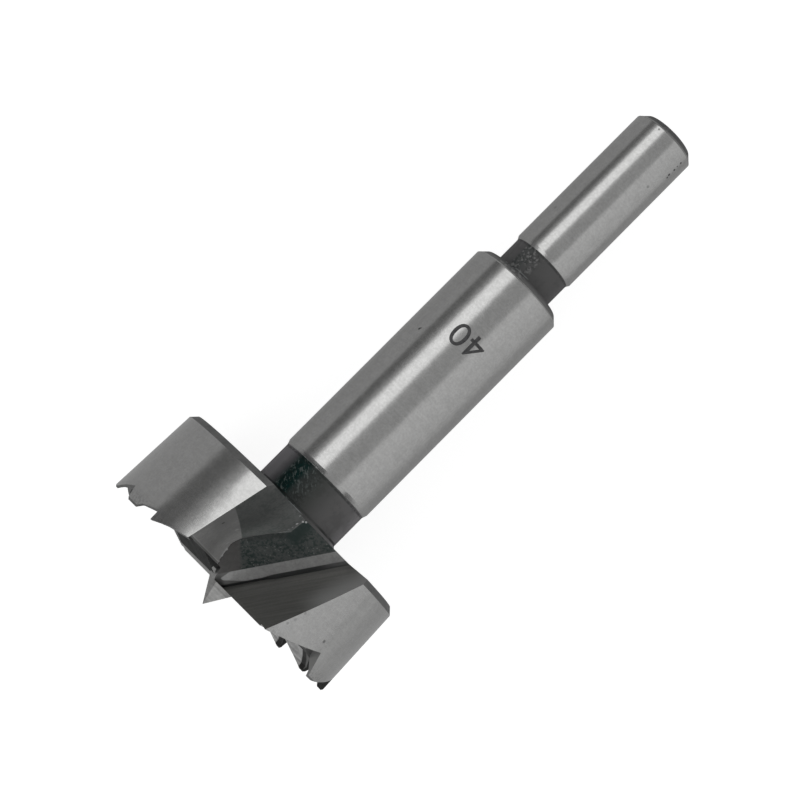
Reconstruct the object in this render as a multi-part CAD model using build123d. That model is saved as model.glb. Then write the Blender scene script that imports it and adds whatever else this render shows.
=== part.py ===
from build123d import *
import os
from math import acos, asin, atan, atan2, cos, degrees, radians, sin, sqrt, tan

# A sawtooth forstner bit for 40 mm holes: a stepped round shank, and a head with two lobes, two chip
# gullets, two radial lips, five teeth on each lobe's rim and a square centre point. It is one piece of steel.
# It is modelled upright in millimetres, with z measured up the axis from the tip of the centre point, and
# then laid down as it comes to rest. Angles round the axis are in degrees from the -Y side towards +X,
# and the bit turns towards smaller angles when it cuts.

# Head
head_diameter = 40.0
rim_taper = 2.3
tooth_level = 3.05
lip_level = 3.5
underside_level = 5.3
head_top_level = 17.8
head_chamfer_height = 0.9
head_chamfer_width = 0.85

# Turned shank
lower_neck_diameter = 14.5
lower_neck_end = 23.8
hub_diameter = 15.0
hub_end = 62.6
hub_foot_bevel_height = 0.7
hub_top_rounding = 1.0
upper_neck_diameter = 9.4
upper_neck_end = 66.9
shank_diameter = 10.0
shank_foot_bevel_height = 0.5
shank_end_chamfer = 1.03
overall_length = 92.5
neck_fillet = 0.5

# Lips and the faces behind them
lobes = 2
lip_angle = 23.6
rake_angle = 25.5
lip_land_width = 1.3
lip_land_relief = 15.0
lip_back_relief = 20.0

# Chip gullet: a straight pass with a square foot beside the rake face, and the forged web wall past it
groove_start_on_lip = 0.87
groove_end_on_lip = 9.83
groove_foot_width = 2.2
web_wall_bend = 6.2

# Back wall of the lobe ahead of the gullet: where it meets the rim, and where it meets the web wall
back_wall_rim_angle_at_top = -14.1
back_wall_rim_angle_at_underside = -21.9
back_wall_corner_from_top = [(0.0, 1.7), (3.5, 0.6), (8.0, -2.6), (12.5, -2.3)]

# Rim teeth: for each gash the angles and heights of its roof on the outer surface, from the tooth before
# it to its top, and the angle of the next tooth's face. The lobes are ground by hand and differ a little
lip_corner_level = 3.6
shared_gashes = [
    ([(lip_angle, lip_corner_level), (52.1, 6.6)], 56.6),
    ([(64.0, 3.3), (84.5, 5.3)], 88.0),
]
first_lobe_gashes = [
    ([(103.0, 3.35), (118.3, 5.0)], 121.8),
    ([(124.6, 3.05), (134.7, 3.97), (141.0, 4.67)], 141.6),
    ([(143.6, 3.1), (150.0, 3.8), (157.9, 5.05)], 175.0),
]
second_lobe_gashes = [
    ([(103.7, 3.38), (111.0, 4.25), (118.5, 5.0)], 121.6),
    ([(129.6, 3.38), (131.3, 3.97), (140.1, 4.92)], 140.4),
    ([(141.5, 3.4), (148.0, 4.3), (157.9, 5.05)], 175.0),
]

# Rim wall inside the teeth: its thickness at heights above their tips, and where it joins the underside
rim_wall_above_tips = [(0.0, 0.4), (0.8, 0.5), (1.65, 1.2)]
rim_root_thickness = 1.9
tooth_edge_bevel_height = 0.3
tooth_edge_bevel_width = 0.2

# Where the rake face's edge touches the floor when the bit lies on a gullet
rake_contact_level = 6.3

# Centre point: a square pyramid with two faces along the lips
point_half_angle = 24.8

# Cutting room past the faces that are cut away
reach = 60.0
clear = 6.0


def around(radius, angle, z=0.0):
    """The place at a radius and an angle in degrees round the axis."""
    return Vector(radius * sin(radians(angle)), -radius * cos(radians(angle)), z)


def rim_radius(z):
    """The radius of the rim's outer surface, which narrows towards the shank."""
    return head_diameter / 2 - (z - tooth_level) * tan(radians(rim_taper))


def turned_body():
    """The head's blank with its necks, hub and shank, revolved in one profile."""
    neck = lower_neck_diameter / 2
    hub = hub_diameter / 2
    waist = upper_neck_diameter / 2
    shank = shank_diameter / 2
    chamfer_start = head_top_level - head_chamfer_height
    rim_at_chamfer = rim_radius(chamfer_start)
    outline = [
        (0, tooth_level),
        (rim_radius(tooth_level) - tooth_edge_bevel_width, tooth_level),
        (rim_radius(tooth_level + tooth_edge_bevel_height), tooth_level + tooth_edge_bevel_height),
        (rim_at_chamfer, chamfer_start),
        (rim_at_chamfer - head_chamfer_width, head_top_level),
        (neck + neck_fillet, head_top_level),
        (neck, head_top_level + neck_fillet),
        (neck, lower_neck_end),
        (hub, lower_neck_end + hub_foot_bevel_height),
        (hub, hub_end - hub_top_rounding),
        (hub - hub_top_rounding, hub_end),
        (waist, hub_end),
        (waist, upper_neck_end),
        (shank, upper_neck_end + shank_foot_bevel_height),
        (shank, overall_length - shank_end_chamfer),
        (shank - shank_end_chamfer, overall_length),
        (0, overall_length),
    ]
    profile = make_face(Polyline([(r, 0, z) for r, z in outline], close=True))
    return revolve(profile, Axis.Z)


lip_direction = around(1, lip_angle)
behind_lip = Vector(cos(radians(lip_angle)), sin(radians(lip_angle)), 0)
rake_rise = tan(radians(rake_angle))


def on_rake_face(along_lip, z):
    """The place on the rake face that lies so far along the lip and at that height."""
    return lip_direction * along_lip + behind_lip * ((z - lip_level) * rake_rise) + Vector(0, 0, z)


def underside_cut():
    """What is cut from under one lobe: a flat recess inside the rim, and the relief behind the lip."""
    land_end = lip_land_width
    land_rise = land_end * tan(radians(lip_land_relief))
    back_end = land_end + (underside_level - lip_level - land_rise) / tan(radians(lip_back_relief))
    frame = Plane(origin=(0, 0, 0), x_dir=behind_lip, z_dir=lip_direction)
    side = 1 if frame.y_dir.Z > 0 else -1
    low = tooth_level - clear
    under_lip = [
        (0, low),
        (0, lip_level),
        (land_end, lip_level + land_rise),
        (back_end, underside_level),
        (reach, underside_level),
        (reach, low),
    ]
    lip_profile = frame * Polygon(*[(x, side * z) for x, z in under_lip], align=None)
    lip_side = extrude(lip_profile, reach, dir=lip_direction)
    under_web = [(0, low), (0, underside_level), (reach, underside_level), (reach, low)]
    web_profile = frame * Polygon(*[(x, side * z) for x, z in under_web], align=None)
    web_side = extrude(web_profile, reach, dir=-lip_direction)
    tip_radius = rim_radius(tooth_level)
    mouth = tip_radius - rim_wall_above_tips[0][1]
    outline = [(0, low), (mouth, low)]
    for rise, thickness in rim_wall_above_tips:
        outline.append((rim_radius(tooth_level + rise) - thickness, tooth_level + rise))
    outline.append((rim_radius(underside_level) - rim_root_thickness, underside_level))
    outline.append((0, underside_level))
    recess = revolve(make_face(Polyline([(r, 0, z) for r, z in outline], close=True)), Axis.Z)
    return recess & (lip_side + web_side)


def gash_cut(roof, face_angle):
    """A gash between two teeth, cut straight inwards: a sloping roof and the next tooth's cutting face."""
    start_angle = roof[0][0]
    top_angle = roof[-1][0]
    middle = (start_angle + top_angle) / 2
    outward = around(1, middle)
    frame = Plane(origin=outward * (head_diameter / 2 + clear), x_dir=Vector(0, 0, 1), z_dir=-outward)
    side = 1 if frame.y_dir.dot(around(1, middle + 90)) > 0 else -1

    def on_rim(angle, z):
        return (z, side * rim_radius(z) * sin(radians(angle - middle)))

    def run_down(place, above):
        share = (place[0] - below) / (above[0] - place[0])
        return (below, place[1] + (place[1] - above[1]) * share)

    below = tooth_level - clear
    places = [on_rim(angle, z) for angle, z in roof]
    foot = on_rim(face_angle, tooth_level)
    outline = [run_down(places[0], places[1])] + places + [run_down(foot, places[-1])]
    depth = clear + rim_root_thickness + head_diameter / 2 * (1 - cos(radians(top_angle - middle)))
    return extrude(frame * Polygon(*outline, align=None), depth, dir=-outward)


def groove_frame():
    """The chip groove's start, its direction, and the directions across its foot and out along the rake face."""
    start = on_rake_face(groove_start_on_lip, lip_level)
    end = on_rake_face(groove_end_on_lip, head_top_level)
    along = (end - start).normalized()
    across_foot = Vector(-behind_lip.X, -behind_lip.Y, rake_rise).normalized()
    out = along.cross(across_foot)
    if out.dot(lip_direction) < 0:
        out = out * -1
    return start, along, across_foot, out


def chip_groove():
    """The straight pass that leaves the rake face, the narrow foot square to it and the web wall."""
    start, along, across_foot, out = groove_frame()
    frame = Plane(origin=start - along * reach, x_dir=across_foot, z_dir=along)
    side = 1 if frame.y_dir.dot(out) > 0 else -1
    bend = radians(web_wall_bend)
    outline = [
        (0, 0),
        (groove_foot_width, 0),
        (groove_foot_width + reach * cos(bend), reach * sin(bend)),
        (groove_foot_width + reach * cos(bend), reach),
        (0, reach),
    ]
    profile = frame * Polygon(*[(x, side * y) for x, y in outline], align=None)
    return extrude(profile, 2 * reach, dir=along)


def on_web_wall(x, z):
    """The place on the web wall with that x and z."""
    start, along, across_foot, out = groove_frame()
    bend = radians(web_wall_bend)
    up_wall = across_foot * cos(bend) + out * sin(bend)
    normal = up_wall.cross(along)
    place = start + across_foot * groove_foot_width
    y = place.Y - (normal.X * (x - place.X) + normal.Z * (z - place.Z)) / normal.Y
    return Vector(x, y, z)


def back_wall_rim_angle(z):
    """The angle at which the back wall meets the rim at a height."""
    share = (head_top_level - z) / (head_top_level - underside_level)
    fall = back_wall_rim_angle_at_underside - back_wall_rim_angle_at_top
    return back_wall_rim_angle_at_top + share * fall


def lobe_ahead():
    """The lobe ahead of the gullet as a block, bounded by its slightly twisted back wall."""
    corners = [(head_top_level - drop, x) for drop, x in back_wall_corner_from_top]
    (top_z, top_x), (next_z, next_x) = corners[:2]
    above = (top_z + clear, top_x + clear * (top_x - next_x) / (top_z - next_z))
    below = (tooth_level - clear, corners[-1][1])
    sections = []
    for z, x in [above] + corners + [below]:
        corner = on_web_wall(x, z)
        rim = around(rim_radius(z), back_wall_rim_angle(z), z)
        outward = (rim - corner).normalized()
        inner = corner - outward * clear
        outer = rim + outward * clear
        far_side = Vector(-reach, 0, 0)
        sections.append(make_face(Polyline([inner, outer, outer + far_side, inner + far_side], close=True)))
    return loft(sections)


def gullet_cut():
    """One chip gullet: the groove, without what it would take from the lobe ahead."""
    return chip_groove() - lobe_ahead()


def centre_point(gullets):
    """The square point, with its root cut to the gullets above the lips."""
    half_width = tan(radians(point_half_angle)) * underside_level
    frame = Plane(origin=(0, 0, underside_level), x_dir=lip_direction, z_dir=(0, 0, 1))
    pyramid = loft([frame * Rectangle(2 * half_width, 2 * half_width), Vertex(0, 0, 0)])
    above_lips = Pos(0, 0, lip_level + reach / 2) * Box(reach, reach, reach)
    return pyramid - (gullets & above_lips)


def each_lobe(shape):
    """The shape and its copies, one for each lobe."""
    whole = shape
    for index in range(1, lobes):
        whole = whole + Rot(0, 0, index * 360 / lobes) * shape
    return whole


def bit_upright():
    """The whole bit, upright on the tip of its point."""
    gullets = each_lobe(gullet_cut())
    body = turned_body() - each_lobe(underside_cut())
    for index, own_gashes in enumerate((first_lobe_gashes, second_lobe_gashes)):
        for roof, face_angle in shared_gashes + own_gashes:
            body = body - Rot(0, 0, index * 360 / lobes) * gash_cut(roof, face_angle)
    return body - gullets + centre_point(gullets)


def rest_frame():
    """The row's frame in the upright bit's: X towards the shank, Z up, when the bit lies on one gullet.

    It rests on three places: the rake face's edge on the rim, a little above the lip's corner, the back
    wall's corner at the head's top edge, and the end of the shank. The downward direction has the same
    reach to all three.
    """
    edge_z = head_top_level - head_chamfer_height
    back = (rim_radius(edge_z), radians(back_wall_rim_angle(edge_z)), edge_z)
    rake_radius = rim_radius(rake_contact_level)
    behind = (rake_contact_level - lip_level) * rake_rise
    lip = (rake_radius, radians(lip_angle) + asin(behind / rake_radius), rake_contact_level)
    end_radius = shank_diameter / 2
    end_z = overall_length - shank_end_chamfer
    back_weight = back[0] * (end_z - lip[2])
    lip_weight = lip[0] * (end_z - back[2])
    along_cos = back_weight * cos(back[1]) - lip_weight * cos(lip[1])
    along_sin = back_weight * sin(back[1]) - lip_weight * sin(lip[1])
    level = end_radius * (back[2] - lip[2])
    turn = atan2(along_sin, along_cos) + acos(level / sqrt(along_cos**2 + along_sin**2))
    tilt = atan((back[0] * cos(back[1] - turn) - end_radius) / (end_z - back[2]))
    up = around(cos(tilt), degrees(turn), -sin(tilt))
    towards_shank = (Vector(0, 0, 1) + up * sin(tilt)).normalized()
    floor = around(-back[0], degrees(back[1]), back[2])
    return Plane(origin=up * floor.dot(up), x_dir=towards_shank, z_dir=up)


def main():
    """Makes the bit, lays it down and writes its file."""
    laid = rest_frame().to_local_coords(bit_upright())
    box = laid.bounding_box()
    centre = box.center()
    bit = Pos(-centre.X, -centre.Y, 0) * laid
    bit.label = "forstner_bit"
    os.makedirs("parts", exist_ok=True)
    export_step(bit, "parts/forstner_bit.step")
    print("box", bit.bounding_box(), "volume", bit.volume)


main()
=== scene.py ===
"""A 40 mm sawtooth forstner bit, lying on one gullet on pale paper under soft studio light.

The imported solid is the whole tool. This script dresses it in its two finishes, bright ground steel and dark
forged scale, adds the etched size on the hub, and sets up the paper, the lights and the camera. Sizes are in
millimetres in the bit's own upright frame: z runs up the axis from the tip of the centre point, angles go
round it from the -Y side towards +X.
"""

import logging
import math
from dataclasses import dataclass, field
from enum import Enum
from typing import Any, Dict, List, Optional, Sequence, Tuple, Union

import bpy
from mathutils import Matrix, Vector


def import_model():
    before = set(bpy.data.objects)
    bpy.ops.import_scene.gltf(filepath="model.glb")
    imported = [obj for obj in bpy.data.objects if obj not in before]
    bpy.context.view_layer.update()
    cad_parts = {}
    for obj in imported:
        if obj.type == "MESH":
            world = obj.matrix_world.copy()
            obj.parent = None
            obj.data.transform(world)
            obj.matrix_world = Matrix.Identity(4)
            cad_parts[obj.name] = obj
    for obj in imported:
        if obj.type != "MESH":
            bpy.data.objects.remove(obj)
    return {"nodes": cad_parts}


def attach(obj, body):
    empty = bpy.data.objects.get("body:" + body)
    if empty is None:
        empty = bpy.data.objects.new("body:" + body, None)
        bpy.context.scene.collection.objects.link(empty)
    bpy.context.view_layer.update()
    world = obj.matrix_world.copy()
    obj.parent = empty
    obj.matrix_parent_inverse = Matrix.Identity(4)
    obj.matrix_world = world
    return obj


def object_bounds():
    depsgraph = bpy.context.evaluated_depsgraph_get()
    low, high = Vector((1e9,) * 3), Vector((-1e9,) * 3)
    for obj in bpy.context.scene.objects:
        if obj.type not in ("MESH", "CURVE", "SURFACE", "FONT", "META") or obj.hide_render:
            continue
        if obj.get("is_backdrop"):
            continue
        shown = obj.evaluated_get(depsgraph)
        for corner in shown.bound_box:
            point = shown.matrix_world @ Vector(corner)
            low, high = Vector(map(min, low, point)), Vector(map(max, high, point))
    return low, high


LOG = logging.getLogger("forstner_bit")
NODE = "forstner_bit"
BODY = "root"
METRES = 0.001

Triple = Tuple[float, float, float]
Pair = Tuple[float, float]


def grey(level: float) -> Triple:
    """A neutral colour."""
    return (level, level, level)


class Value:
    """A socket of a node tree. Python's operators join numbers of it into Math nodes."""

    def __init__(self, board: "Board", socket: bpy.types.NodeSocket) -> None:
        """Keeps the socket and the board it is on."""
        self.board = board
        self.socket = socket

    def __add__(self, other: "Number") -> "Value":
        """The sum."""
        return self.board.maths("ADD", self, other)

    def __radd__(self, other: float) -> "Value":
        """The sum, with the number first."""
        return self.board.maths("ADD", other, self)

    def __sub__(self, other: "Number") -> "Value":
        """The difference."""
        return self.board.maths("SUBTRACT", self, other)

    def __rsub__(self, other: float) -> "Value":
        """The difference, with the number first."""
        return self.board.maths("SUBTRACT", other, self)

    def __mul__(self, other: "Number") -> "Value":
        """The product."""
        return self.board.maths("MULTIPLY", self, other)

    def __rmul__(self, other: float) -> "Value":
        """The product, with the number first."""
        return self.board.maths("MULTIPLY", other, self)

    def __truediv__(self, other: "Number") -> "Value":
        """The quotient."""
        return self.board.maths("DIVIDE", self, other)

    def __abs__(self) -> "Value":
        """The size without its sign."""
        return self.board.maths("ABSOLUTE", self)

    def above(self, edge: "Number", soft: float = 0.05) -> "Value":
        """1 where the value has passed the edge, 0 before it.

        Args:
            edge: The value at which the answer is one half.
            soft: The width of the change.

        Returns:
            A mask.
        """
        return self.board.step(self - edge, soft)

    def below(self, edge: "Number", soft: float = 0.05) -> "Value":
        """1 where the value is under the edge, 0 past it."""
        return 1 - self.above(edge, soft)

    def within(self, low: "Number", high: "Number", soft: float = 0.05) -> "Value":
        """1 between two edges, 0 outside them."""
        return self.above(low, soft) * self.below(high, soft)

    def near(self, place: "Number", reach: float, soft: float = 0.05) -> "Value":
        """1 within a reach of a place, 0 beyond it."""
        return abs(self - place).below(reach, soft)

    def on_face(self) -> "Value":
        """1 where a distance from a face is nothing, so that the place is on it."""
        return self.near(0.0, 0.06, 0.03)


Number = Union[Value, float, int]


class Board:
    """A node tree, with one way of adding a node to it."""

    def __init__(self, tree: bpy.types.NodeTree) -> None:
        """Empties the tree.

        Args:
            tree: The node tree to fill.
        """
        self.tree = tree
        self.kept: Dict[Tuple[Any, ...], Value] = {}
        tree.nodes.clear()

    def node(
        self,
        kind: str,
        settings: Optional[Dict[str, Any]] = None,
        inputs: Optional[Dict[Union[int, str], Any]] = None,
    ) -> bpy.types.Node:
        """Adds a node, sets it, and fills or links its sockets.

        Args:
            kind: The node's type.
            settings: The node's own properties. "stops" is a ramp's list of places and colours.
            inputs: What each input socket holds: a Value is linked, anything else is written into it.

        Returns:
            The node.
        """
        made = self.tree.nodes.new(kind)
        for name, setting in (settings or {}).items():
            if name == "stops":
                self._fill_ramp(made.color_ramp, setting)
            else:
                setattr(made, name, setting)
        for key, given in (inputs or {}).items():
            if isinstance(given, Value):
                self.tree.links.new(given.socket, made.inputs[key])
            else:
                made.inputs[key].default_value = given
        return made

    @staticmethod
    def _fill_ramp(ramp: bpy.types.ColorRamp, stops: Sequence[Tuple[float, Triple]]) -> None:
        """Sets a colour ramp's stops.

        Args:
            ramp: The ramp.
            stops: Places from 0 to 1, and the colours there.
        """
        while len(ramp.elements) < len(stops):
            ramp.elements.new(1.0)
        for element, (place, colour) in zip(ramp.elements, stops):
            element.position = place
            element.color = (*colour, 1.0)

    def value(self, made: bpy.types.Node, output: Union[int, str] = 0) -> Value:
        """One of a node's outputs."""
        return Value(self, made.outputs[output])

    def maths(self, operation: str, *terms: Number) -> Value:
        """The result of a Math node."""
        made = self.node("ShaderNodeMath", {"operation": operation}, dict(enumerate(terms)))
        return self.value(made)

    def step(self, amount: Number, soft: float) -> Value:
        """A smooth rise from 0 to 1 as an amount passes zero.

        Args:
            amount: The amount.
            soft: The width of the rise.

        Returns:
            A mask.
        """
        made = self.node(
            "ShaderNodeMapRange",
            {"interpolation_type": "SMOOTHSTEP"},
            {"Value": amount, "From Min": -soft / 2, "From Max": soft / 2, "To Min": 0.0, "To Max": 1.0},
        )
        return self.value(made)

    def blend(self, first: Any, second: Any, share: Number) -> Value:
        """A colour between two colours.

        Args:
            first: The colour at a share of 0, as a Value or three numbers.
            second: The colour at a share of 1.
            share: How far to go from the first to the second.

        Returns:
            The colour.
        """
        ends = [end if isinstance(end, Value) else (*end, 1.0) for end in (first, second)]
        made = self.node("ShaderNodeMix", {"data_type": "RGBA"}, {0: share, 6: ends[0], 7: ends[1]})
        return self.value(made, 2)

    def dot(self, vector: Value, direction: Sequence[float]) -> Value:
        """How far a vector reaches along a direction."""
        ends = {0: vector, 1: tuple(direction)}
        return self.value(self.node("ShaderNodeVectorMath", {"operation": "DOT_PRODUCT"}, ends), "Value")

    def joined(self, x: Number, y: Number, z: Number) -> Value:
        """A vector of three numbers."""
        return self.value(self.node("ShaderNodeCombineXYZ", {}, {0: x, 1: y, 2: z}))

    def noise(self, vector: Value, scale: float, detail: float = 3.0, roughness: float = 0.55) -> Value:
        """Cloudy noise about one half. The same noise asked for twice is one node.

        Args:
            vector: The place.
            scale: How many clouds there are to a millimetre.
            detail: How many finer layers it has.
            roughness: How strong each finer layer is.

        Returns:
            The noise.
        """
        key = (vector.socket.node.name, scale, detail, roughness)
        if key not in self.kept:
            made = self.node(
                "ShaderNodeTexNoise",
                {"noise_dimensions": "3D"},
                {"Vector": vector, "Scale": scale, "Detail": detail, "Roughness": roughness},
            )
            self.kept[key] = self.value(made, 0)
        return self.kept[key]

    def flecks(self, vector: Value, scale: float, size: float) -> Value:
        """Scattered grains: 1 in their middles, 0 between them.

        Args:
            vector: The place.
            scale: How many grains there are to a millimetre.
            size: Their radius, as a share of the room that each one has.

        Returns:
            A mask.
        """
        key = (vector.socket.node.name, "flecks", scale, size)
        if key not in self.kept:
            inputs = {"Vector": vector, "Scale": scale, "Randomness": 1.0}
            made = self.node("ShaderNodeTexVoronoi", {}, inputs)
            self.kept[key] = self.value(made, "Distance").below(size, size)
        return self.kept[key]

    def ramp(self, amount: Number, low: float, high: float, stops: Sequence[Tuple[float, Triple]]) -> Value:
        """A colour that changes with an amount.

        Args:
            amount: The amount.
            low: The amount at the ramp's start.
            high: The amount at its end.
            stops: Amounts and the colours there.

        Returns:
            The colour.
        """
        places = [((place - low) / (high - low), colour) for place, colour in stops]
        made = self.node("ShaderNodeValToRGB", {"stops": places}, {0: (amount - low) / (high - low)})
        return self.value(made)

    def shown(self, shader: bpy.types.Node, output: str = "ShaderNodeOutputMaterial") -> None:
        """Makes a shader what the tree shows."""
        self.node(output, {}, {"Surface": self.value(shader)})


def new_material(name: str) -> Tuple[bpy.types.Material, Board]:
    """Makes a material.

    Args:
        name: What it is called.

    Returns:
        The material and its empty board.
    """
    made = bpy.data.materials.new(name)
    made.use_nodes = True
    return made, Board(made.node_tree)


@dataclass(frozen=True)
class Rest:
    """How the bit lies on the paper, as the solid's own source lays it down.

    Attributes:
        floor: A place of the paper's plane, in the upright frame.
        towards_shank: The row's X direction in the upright frame.
        up: The row's Z direction in the upright frame.
        shift: How far the row's origin is moved along X from that place.
    """

    floor: Triple = (-4.06596, 19.2247, 3.26362)
    towards_shank: Triple = (0.033902, -0.160297, 0.986486)
    up: Triple = (0.204123, -0.965137, -0.163843)
    shift: float = -45.950224

    def turn(self) -> Matrix:
        """The turn that takes a direction of the row into the upright frame.

        Returns:
            A matrix of three rows.
        """
        z = Vector(self.up).normalized()
        x = Vector(self.towards_shank)
        x = (x - z * x.dot(z)).normalized()
        return Matrix((x, z.cross(x), z)).transposed()

    def place(self, upright: Sequence[float]) -> Vector:
        """A place of the upright frame, in the row, in metres."""
        row = self.turn().transposed() @ (Vector(upright) - Vector(self.floor))
        return (row + Vector((self.shift, 0, 0))) * METRES

    def direction(self, upright: Sequence[float]) -> Vector:
        """A direction of the upright frame, in the row."""
        return self.turn().transposed() @ Vector(upright)

    def row_origin(self) -> Vector:
        """The row's origin in the upright frame."""
        return Vector(self.floor) - self.turn() @ Vector((self.shift, 0, 0))


@dataclass(frozen=True)
class Tool:
    """The bit's own sizes and the planes of its gullet, as the solid has them.

    Attributes:
        rim_radius: The rim's radius at the teeth.
        rim_taper: How many degrees the rim narrows by, upwards.
        tooth_level: The height of the rim's lower end.
        lip_level: The height of the lips.
        underside_level: The height of the face behind the lips.
        chamfer_level: The height at which the head's top chamfer begins.
        head_top: The height of the head's top.
        neck_radius: The lower neck's radius.
        waist_radius: The upper neck's radius.
        hub_radius: The hub's radius.
        hub_start: The height of the hub's lower end.
        hub_end: The height of its upper end.
        hub_rounding: The radius of that end's rounding.
        shank_start: The height of the shank end's lower end.
        length: The whole length, from the point.
        end_chamfer: The height of the chamfer at the shank's end.
        lip_angle: The lip's angle round the axis.
        rake_angle: How many degrees the rake face leans.
        groove_start: How far out the groove's root is at the lip.
        groove_end: How far out it is at the head's top.
        foot_width: The width of the groove's foot.
        web_bend: How many degrees the web wall is off square to the foot.
        point_half_angle: The angle between the centre point's faces and the axis.
        rim_wall: How thick the rim is between the teeth.
    """

    rim_radius: float = 20.0
    rim_taper: float = 2.3
    tooth_level: float = 3.05
    lip_level: float = 3.5
    underside_level: float = 5.3
    chamfer_level: float = 16.9
    head_top: float = 17.8
    neck_radius: float = 7.25
    waist_radius: float = 4.7
    hub_radius: float = 7.5
    hub_start: float = 23.8
    hub_end: float = 62.6
    hub_rounding: float = 1.0
    shank_start: float = 66.9
    length: float = 92.5
    end_chamfer: float = 1.03
    lip_angle: float = 23.6
    rake_angle: float = 25.5
    groove_start: float = 0.87
    groove_end: float = 9.83
    foot_width: float = 2.2
    web_bend: float = 6.2
    point_half_angle: float = 24.8
    rim_wall: float = 1.9

    def lip(self) -> Vector:
        """The direction of the lip, outwards."""
        angle = math.radians(self.lip_angle)
        return Vector((math.sin(angle), -math.cos(angle), 0))

    def behind(self) -> Vector:
        """The direction square to the lip, into the lobe."""
        angle = math.radians(self.lip_angle)
        return Vector((math.cos(angle), math.sin(angle), 0))

    def on_rake(self, along_lip: float, z: float) -> Vector:
        """A place on the rake face."""
        rise = math.tan(math.radians(self.rake_angle))
        return self.lip() * along_lip + self.behind() * ((z - self.lip_level) * rise) + Vector((0, 0, z))

    def rake(self) -> Vector:
        """The rake face's direction, out of the gullet and into the lobe."""
        rise = math.tan(math.radians(self.rake_angle))
        return (self.behind() - Vector((0, 0, rise))).normalized()

    def root_start(self) -> Vector:
        """The place at the lip where the groove's root begins."""
        return self.on_rake(self.groove_start, self.lip_level)

    def groove(self) -> Vector:
        """The direction of the groove, towards the shank."""
        return (self.on_rake(self.groove_end, self.head_top) - self.root_start()).normalized()

    def out_of_foot(self) -> Vector:
        """The direction square to the groove's foot, along the rake face."""
        out = self.groove().cross(-self.rake())
        return out if out.dot(self.lip()) > 0 else -out

    def web(self) -> Vector:
        """The direction square to the web wall.

        Returns:
            The direction, into the gullet.
        """
        bend = math.radians(self.web_bend)
        up_wall = -self.rake() * math.cos(bend) + self.out_of_foot() * math.sin(bend)
        out = up_wall.cross(self.groove())
        return out if out.dot(self.out_of_foot()) > 0 else -out

    def on_cylinder(self, radius: float, angle: float, z: float) -> Vector:
        """A place at a radius, an angle in degrees and a height."""
        turn = math.radians(angle)
        return Vector((radius * math.sin(turn), -radius * math.cos(turn), z))


class Streaks(Enum):
    """Which way a ground face's lines run."""

    ROUND = "round the axis"
    GROOVE = "along the groove"
    LIP = "along the lip"


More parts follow.
